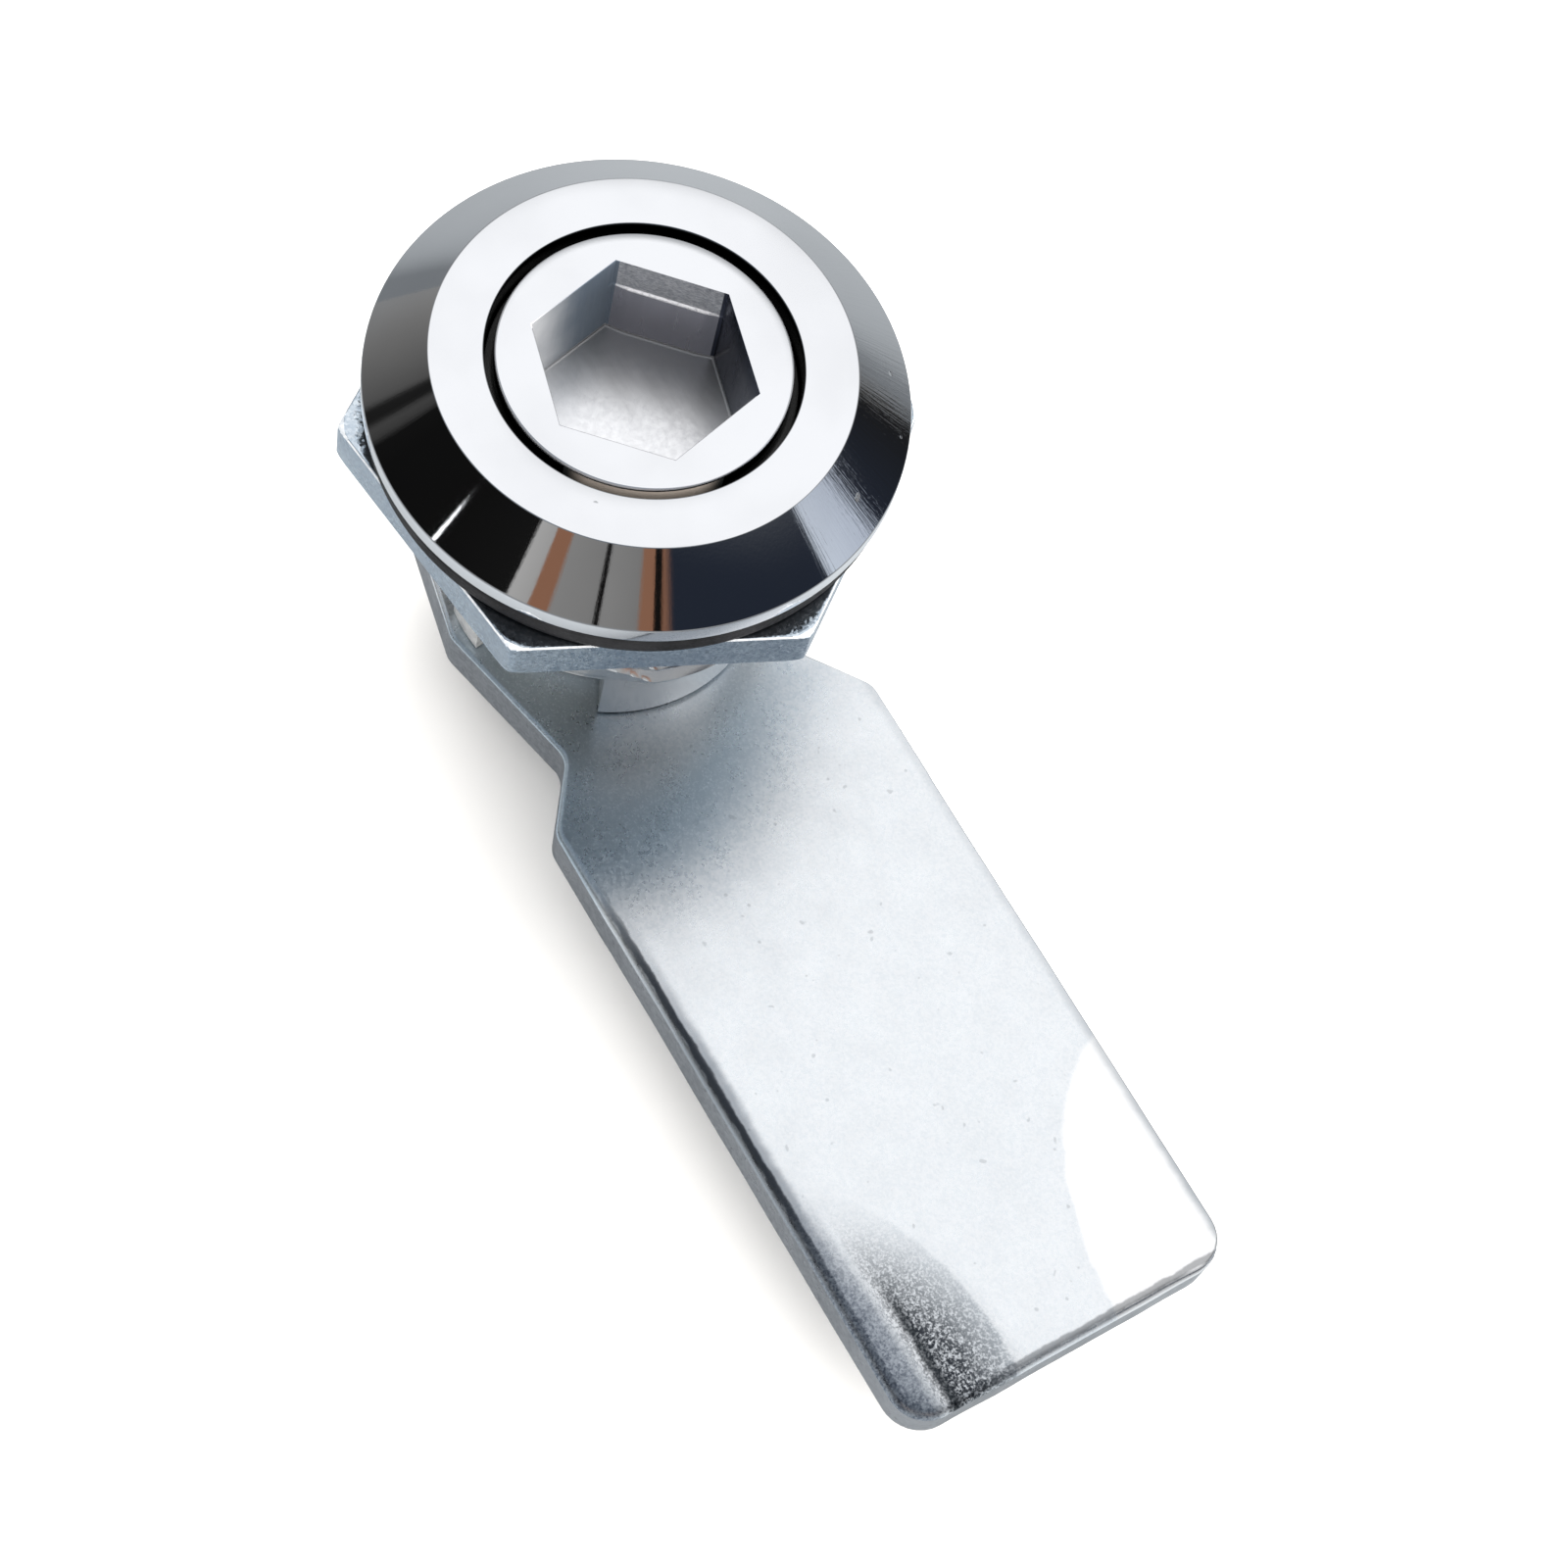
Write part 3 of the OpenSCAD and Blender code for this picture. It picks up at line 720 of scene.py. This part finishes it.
def gasket():
    obj = make("gasket_ring", *turned(fillet([
        (GASKET_IN, 0.0, 0.12), (GASKET_EDGE_R, 0.0, 0.25),
        (GASKET_R, 0.6, 0.3), (GASKET_R, Z_LIP_BOTTOM - 0.6, 0.3),
        (GASKET_EDGE_R, Z_LIP_BOTTOM, 0.25), (GASKET_IN, Z_LIP_BOTTOM, 0.12),
    ]), 216), [RUBBER])
    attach(obj, "lock_body")
    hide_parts("gasket")


# Nut and the bolt's head

def hexagon_block(af, corner_dir, z0, z1, hole, cut, rise, edge, n=360):
    """A hexagon with turned chamfers, cut wide and rise high, on its corners, and with softened
    edges. hole is the radius of a hole, or 0."""
    blunt = 0.061
    corner_r = af / 2 / math.cos(math.pi / 6)
    flat_r = corner_r - cut
    angles = [math.radians(corner_dir) + TAU * i / n for i in range(n)]
    rows = []

    def face_row(back, z):
        """A row on a flat face, back from the place where the softened edge starts."""
        reach = [min(flat_r, hex_r(af, a, corner_dir) - edge) - back for a in angles]
        rows.append([on_circle(r, a, z) for r, a in zip(reach, angles)])

    def side_row(top, back, down):
        """A row on the side, back from its plane and down from the chamfered face."""
        row = []
        for a in angles:
            r = min(hex_r(af, a, corner_dir), corner_r - blunt) - back
            fall = max(0.0, r - flat_r) * rise / cut + down
            row.append(on_circle(r, a, z1 - fall if top else z0 + fall))
        rows.append(row)

    mouth = [(hole, 0.5), (hole + 0.45, 0.03), (hole + 0.55, 0.0)] if hole else []
    arc = [math.pi / 2 * k / 4 for k in range(5)]
    rows += [[on_circle(r, a, z1 - down) for a in angles] for r, down in mouth]
    face_row(0.15, z1)
    face_row(0.0, z1)
    for t in arc:
        side_row(True, edge * (1 - math.sin(t)), edge * (1 - math.cos(t)))
    for t in arc:
        side_row(False, edge * (1 - math.cos(t)), edge * (1 - math.sin(t)))
    face_row(0.0, z0)
    face_row(0.15, z0)
    rows += [[on_circle(r, a, z0 + down) for a in angles] for r, down in reversed(mouth)]
    return rings(rows, bool(hole))


def nut_material(r, z, normal):
    if z > Z_NUT_TOP - 0.12 and r > 12.5 and normal.z < 0.97:
        return RIM
    return NUT_SIDE if abs(normal.z) < 0.5 else NUT


def nut():
    block = hexagon_block(NUT_AF, NUT_DIR, Z_NUT_BOTTOM, Z_NUT_TOP, hole=NUT_HOLE_R,
                          cut=0.40, rise=0.16, edge=0.12)
    obj = make("mounting_nut_body", *block, [NUT, NUT_SIDE, RIM], sharp=28)
    paint(obj, nut_material)
    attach(obj, "clamp_nut")
    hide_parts("mounting_nut")


# Spindle

def spindle_material(r, z, normal):
    # How much a face looks the way in which the ring shows a painted brown reflection on the spindle's side
    toward_reflection = normal.x * 0.87 - normal.y * 0.50
    if z > Z_SPINDLE - 0.02 and normal.z > 0.9:
        return SPINDLE
    if z > Z_SPINDLE - 0.15 and r > 7.0:
        return SHOULDER
    if z > Z_RING + 0.4 and r > 7.0 and toward_reflection > 0.86:
        return SIDE
    if r < 6.3 and z > Z_SOCKET - 0.1:
        return SOCKET
    if abs(z - Z_RING) < 0.35 and r > SPINDLE_R - 0.1:
        return GROOVE_SHADE
    return GROOVE if z > Z_GUIDE_END - 0.13 else JOURNAL


def spindle():
    n = 240
    angles = [TAU * i / n for i in range(n)]
    rows = []

    def socket_row(wider, z, step):
        """A row round the socket; the wall that faces the cam's left side stands in by the step."""
        row = []
        for a in angles:
            off = abs((math.degrees(a) - KEY_DIR - 90 + 180) % 360 - 180)
            af = KEY_AF + wider - 2 * step * unit((30 - off) / 8)
            row.append(on_circle(hex_r(af, a, KEY_DIR), a, z))
        rows.append(row)

    for wider, z, step in (
            (-0.24, Z_SOCKET, SOCKET_STEP), (-0.08, Z_SOCKET + 0.05, SOCKET_STEP),
            (0.0, Z_SOCKET + 0.16, SOCKET_STEP), (0.0, Z_STEP - 0.12, SOCKET_STEP),
            (0.0, Z_STEP - 0.05, 0.75 * SOCKET_STEP), (0.0, Z_STEP + 0.02, 0.0),
            (0.0, Z_SPINDLE - 0.07, 0.0), (0.04, Z_SPINDLE - 0.02, 0.0),
            (0.11, Z_SPINDLE, 0.0), (0.66, Z_SPINDLE, 0.0)):
        socket_row(wider, z, step)
    profile = fillet([
        (SPINDLE_R - 0.6, Z_SPINDLE, 0), (SPINDLE_R, Z_SPINDLE, 0.16), (SPINDLE_R, Z_RING, 0.12),
        (GUIDE_R, Z_RING, 0.1), (GUIDE_R, Z_SEAT_TOP, 0), (SEAL_SEAT_R, Z_SEAT_TOP, 0),
        (SEAL_SEAT_R, Z_SEAT_BOTTOM, 0), (GUIDE_R, Z_SEAT_BOTTOM, 0), (GUIDE_R, Z_GUIDE_END, 0.15),
        (JOURNAL_R, Z_GUIDE_END, 0.1), (JOURNAL_R, Z_STOP_TOP, 0.1), (BOLT_HOLE_R, Z_STOP_TOP, 0),
    ], closed=False)
    rows += [[on_circle(r, a, z) for a in angles] for r, z in profile]

    corner = 0.5
    square = []
    for z, half in ((Z_STOP_TOP + 0.1, SQUARE_HALF), (Z_SQUARE_END + 0.2, SQUARE_HALF),
                    (Z_SQUARE_END, SQUARE_HALF - 0.2)):
        row = []
        for sx, sy, a0 in ((1, 1, 0), (-1, 1, 90), (-1, -1, 180), (1, -1, 270)):
            for k in range(7):
                a = math.radians(a0 + 15 * k)
                x = sx * (half - corner) + corner * math.cos(a)
                y = sy * (half - corner) + corner * math.sin(a)
                row.append((x, y, z))
        square.append(row)
    obj = make("spindle_body", *joined(rings(rows, False), rings(square, False)),
               [SPINDLE, SOCKET, GROOVE, GROOVE_SHADE, JOURNAL, SHOULDER, SIDE], sharp=26)
    paint(obj, spindle_material)
    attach(obj, "turning_set")
    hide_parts("spindle")


# Cam

def soft_outline(points, step=0.7):
    """A filleted outline with extra points along its long sides."""
    loop = fillet(points, steps=8)
    out = []
    for i, p in enumerate(loop):
        q = loop[(i + 1) % len(loop)]
        m = max(1, round(math.dist(p, q) / step))
        out += [(p[0] + (q[0] - p[0]) * k / m, p[1] + (q[1] - p[1]) * k / m) for k in range(m)]
    return out


def square_loop(half):
    corners = [(half, -half), (half, half), (-half, half), (-half, -half)]
    out = []
    for i, (x0, y0) in enumerate(corners):
        x1, y1 = corners[(i + 1) % 4]
        out += [(x0 + (x1 - x0) * k / 8, y0 + (y1 - y0) * k / 8) for k in range(8)]
    return out


def wave(x, y, z):
    """A smooth unevenness between about 0 and 1, the same in every run."""
    return 0.5 + 0.5 * noise.noise(Vector((x, y, z)))


def cam():
    pts = [(x, -y, 1.5) for x, y in HUB_AND_NECK]
    pts += [(CAM_TIP, -BLADE_HALF, 2.3), (CAM_TIP, BLADE_HALF, 2.3)]
    pts += [(x, y, 1.5) for x, y in reversed(HUB_AND_NECK)]
    outline = []
    for x, y in soft_outline(pts):
        # The blade's edges aren't quite straight.
        if x > 20:
            y -= math.copysign(0.07 * wave(x * 0.22, y * 0.22, 3.0) + 0.0016 * (x - 20), y)
            if x > 50:
                x -= 0.10 * wave(1.0, y * 0.35, 9.0)
        outline.append((x, y))

    def sink(x, y, z):
        """The stamped plate is a little wavy, its rim droops slightly, and one corner is dented."""
        away = unit((x - 13.0) / 10.0)
        rim = max(0.0, abs(y) - 8.2) / 2.3
        tip = max(0.0, x - 49.0) / 3.0
        edge = 0.07 * min(1.0, rim * rim + tip * tip)
        waves = 0.02 * wave(x * 0.09, y * 0.11, 0.4)
        corner = 0.30 * max(0.0, 1 - math.hypot(x - 52.5, y + 11) / 9.0) ** 2
        left = 0.06 * max(0.0, (-y - 8.3) / 2.2) ** 2 * unit((x - 34) / 12)
        down = away * (edge + waves + corner + left)
        return -down if z > (Z_CAM_TOP + Z_CAM_BOTTOM) / 2 else down * 0.4

    def share(x, y):
        """The stamping rolled the blade's left edge and tip, and hardly the right edge and the hub."""
        blade = unit((x - 11) / 8)
        right = unit((y - 6.0) / 3.5) * unit((54 - x) / 3.5)
        return (0.45 + 0.55 * blade) * (1 - 0.88 * right)

    shape = plate(outline, square_loop(DRIVE_HALF), Z_CAM_BOTTOM, Z_CAM_TOP, TOP_ROLL, BOTTOM_ROLL,
                  grid=0.9, sink=sink, steps=6, share=share)
    obj = make("cam_plate", *shape, [CAM, SHEARED], sharp=40)
    paint(obj, lambda r, z, normal: SHEARED if abs(normal.z) < 0.35 else CAM)
    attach(obj, "turning_set")
    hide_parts("cam")


# Small turning parts

def small_parts():
    # The ear points to -y, and its flanks are radial.
    ear_arc = 2 * EAR_HALF_ANGLE
    rim = [(EAR_R, -EAR_HALF_ANGLE + ear_arc * k / 8) for k in range(9)]
    rim += [(STOP_R, EAR_HALF_ANGLE + (360 - ear_arc) * k / 170) for k in range(171)]
    ear = [on_circle(r, math.radians(a - 90), 0.0)[:2] for r, a in rim]
    shape = plate(ear, square_loop(DRIVE_HALF), Z_CAM_TOP, Z_STOP_TOP, (0.12, 0.12), (0.2, 0.2), steps=2)
    stop = make("stop_washer_plate", *shape, [STOP], sharp=40)
    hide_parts("stop_washer")

    washer = make("flat_washer_ring", *turned(fillet([
        (WASHER_HOLE_R, Z_WASHER_BOTTOM, 0.15), (WASHER_R, Z_WASHER_BOTTOM, 0.3),
        (WASHER_R, Z_CAM_BOTTOM, 0.12), (WASHER_HOLE_R, Z_CAM_BOTTOM, 0.12),
    ]), 144), [WASHER])
    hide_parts("flat_washer")

    # Its section is a little thicker at the hole, and its slit leans.
    middle = (Z_WASHER_BOTTOM + Z_BOLT_SEAT) / 2
    spring = make("lock_washer_ring", *sweep(fillet([
        (SPRING_IN, Z_BOLT_SEAT + 0.02, 0.15), (SPRING_R, Z_BOLT_SEAT + 0.1, 0.2),
        (SPRING_R, Z_WASHER_BOTTOM - 0.1, 0.2), (SPRING_IN, Z_WASHER_BOTTOM - 0.02, 0.15),
    ]), 6, 354, 100, slant=lambda r, z: 0.09 * (z - middle) / 0.8), [SPRING])
    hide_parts("lock_washer")

    head = hexagon_block(BOLT_AF, 0.0, Z_FLOOR, Z_BOLT_SEAT, hole=0, cut=0.85, rise=0.42, edge=0.1, n=180)
    shank = turned([(BOLT_R, Z_BOLT_SEAT - 0.1), (BOLT_R, Z_BOLT_END - 0.2),
                    (BOLT_R - 0.35, Z_BOLT_END)], 48, loop=False)
    bolt = make("cam_bolt_body", *joined(head, shank), [BOLT], sharp=28)
    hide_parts("cam_bolt")
    for obj in (stop, washer, spring, bolt):
        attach(obj, "turning_set")

    seal = frame["nodes"]["spindle_seal"]
    seal.data.materials.clear()
    seal.data.materials.append(SEAL)
    for p in seal.data.polygons:
        p.use_smooth = True


# Floor, light and view

def floor():
    mat, g, bsdf = new_material("floor_white", (0.86, 0.86, 0.855), 0.0, 0.8, 0.0)
    point = g.object_point()
    x, y, _ = g.split(point)
    tone = g.mix(g.noise(point, 30.0, 3.0, 0.5), (0.87, 0.858, 0.838), (0.88, 0.87, 0.852))
    # Painted shade: the floor turns grey from 11 cm to 50 cm from the axis.
    tone = g.mix(g.band(g.length(x, y), 0.11, 0.5), tone, (0.42, 0.42, 0.42))
    # The polished metal shows the floor darker than it is.
    reflected = g.mix(1.0, tone, (0.35, 0.375, 0.40), "MULTIPLY")
    gloss = g.add("ShaderNodeLightPath").outputs["Is Glossy Ray"]
    g.put(bsdf.inputs["Base Color"], g.mix(gloss, tone, reflected))
    radius, n = 3000.0, 96
    verts = [on_circle(radius, TAU * i / n, Z_FLOOR) for i in range(n)]
    make("floor", verts, [tuple(range(n))], [mat])


def linear(c):
    """A display colour as the renderer's linear one."""
    return tuple(x / 12.92 if x <= 0.04045 else ((x + 0.055) / 1.055) ** 2.4 for x in c)


def grey(v):
    return linear((v * 1.01, v, v * 0.985))


BROWN = linear((0.52, 0.37, 0.29))
NAVY = linear((0.13, 0.15, 0.19))
WINDOW_NEAR, WINDOW_FAR = linear((0.76, 0.79, 0.83)), linear((0.68, 0.71, 0.76))

# What stands round the horizon, as colours at azimuths in degrees, for each half of the room
ROOM_BELOW_0 = [
    (-180, grey(0.12)), (-177, grey(0.12)), (-172, grey(0.50)), (-150, grey(0.36)), (-143, grey(0.30)),
    (-141, grey(0.11)), (-138, grey(0.10)), (-136, grey(0.25)), (-133.5, grey(0.22)),
    (-131.5, grey(0.07)), (-125, grey(0.06)), (-99, grey(0.06)), (-70.2, grey(0.08)),
    (-69.6, grey(0.64)), (-62.4, grey(0.60)), (-61.9, BROWN), (-55.2, BROWN),
    (-54.6, grey(0.50)), (-39.2, grey(0.47)), (-38.8, grey(0.05)), (-37.0, grey(0.05)),
    (-36.6, grey(0.50)), (-24, grey(0.46)), (-22.5, BROWN), (-18.2, BROWN),
    (-17.8, grey(0.06)), (-15, grey(0.06)), (-14.6, BROWN), (-11, NAVY),
]
ROOM_ABOVE_0 = [
    (0, NAVY), (41, NAVY), (43, WINDOW_NEAR), (59, WINDOW_FAR), (61, NAVY),
    (88, grey(0.10)), (91, grey(0.45)), (96, grey(0.12)), (180, grey(0.12)),
]


def world():
    """A studio seen by the metal: a white ceiling, a dark room below it and a few soft openings."""
    w = bpy.data.worlds.new("studio")
    bpy.context.scene.world = w
    w.use_nodes = True
    background = w.node_tree.nodes["Background"]
    g = Graph(w.node_tree)
    x, y, z = g.split(g.add("ShaderNodeTexCoord").outputs["Generated"])
    heading = g.math("ARCTAN2", y, x)
    azimuth = g.times(heading, 180 / math.pi)
    zenith = g.times(g.math("ARCCOSINE", z), 180 / math.pi)

    # How far a direction is from the middle of the belt that the cone reflects
    turn = g.minus(1.0, g.math("COSINE", g.plus(heading, -math.radians(CAMERA_AZIMUTH))))
    belt = g.plus(g.times(g.times(turn, turn), BELT_BEND), g.times(turn, BELT_RISE))
    away = g.math("ABSOLUTE", g.minus(zenith, g.plus(belt, BELT_ZENITH)))

    below_0 = g.ramp(g.over(g.plus(azimuth, 180.0), 180.0), [((a + 180) / 180, c) for a, c in ROOM_BELOW_0])
    above_0 = g.ramp(g.over(azimuth, 180.0), [(a / 180, c) for a, c in ROOM_ABOVE_0])
    low = g.mix(g.math("GREATER_THAN", azimuth, 0.0), below_0, above_0)
    low = g.mix(1.0, low, (2.3, 2.3, 2.3), "MULTIPLY")
    # One narrow lamp stands in the room, and its top is a little above the belt's middle.
    tube = g.times(g.strip(azimuth, -99.8, -99.6, -98.9, -98.7), g.band(zenith, 59.15, 59.25))
    low = g.mix(tube, low, (4.6, 4.6, 4.6))
    low = g.mix(g.band(away, 5.0, 10.0), low, (0.50, 0.51, 0.52))

    # The ceiling's softbox ends a little on this side of straight up.
    to_x = g.times(zenith, g.math("COSINE", heading))
    to_y = g.times(zenith, g.math("SINE", heading))
    along = g.minus(g.times(to_y, 0.9), g.times(to_x, 0.3))
    high = g.mix(g.band(along, 2.0, 9.0), (0.30, 0.33, 0.37), (1.10, 1.105, 1.12))
    room = g.mix(g.band(zenith, 36.0, 48.0), high, low)
    direct = g.add("ShaderNodeLightPath").outputs["Is Camera Ray"]
    g.put(background.inputs["Color"], g.mix(direct, room, (1.02, 1.02, 1.02)))
    background.inputs["Strength"].default_value = 1.0


def key_light():
    data = bpy.data.lights.new("key_soft", "SUN")
    data.energy = 7.0
    data.angle = math.radians(110)
    data.color = (1.0, 0.985, 0.965)
    sun = bpy.data.objects.new("key_soft", data)
    bpy.context.scene.collection.objects.link(sun)
    toward = Vector((0.20, 0.28, 0.94)).normalized()
    sun.rotation_mode = "QUATERNION"
    sun.rotation_quaternion = toward.to_track_quat("Z", "Y")
    sun.visible_glossy = False


def camera():
    """The camera stands where the photograph's perspective puts it."""
    at = Vector((71.344, -58.601, 144.636)) * MM
    right = Vector((0.50353, 0.85058, 0.15157)).normalized()
    back = Vector((0.28752, -0.3304, 0.89898)).normalized()
    data = bpy.data.cameras.new("camera")
    data.lens = 73.324
    data.sensor_width = 36.0
    data.sensor_fit = "HORIZONTAL"
    data.shift_y = 60 / 1600
    data.clip_start = 0.01
    data.clip_end = 10.0
    cam_obj = bpy.data.objects.new("camera", data)
    bpy.context.scene.collection.objects.link(cam_obj)
    turn = Matrix((right, back.cross(right).normalized(), back)).transposed()
    cam_obj.matrix_world = Matrix.Translation(at) @ turn.to_4x4()
    bpy.context.scene.camera = cam_obj


housing()
gasket()
nut()
spindle()
cam()
small_parts()
floor()
world()
key_light()
camera()
bpy.context.scene.view_settings.view_transform = "Standard"
bpy.context.scene.view_settings.look = "None"
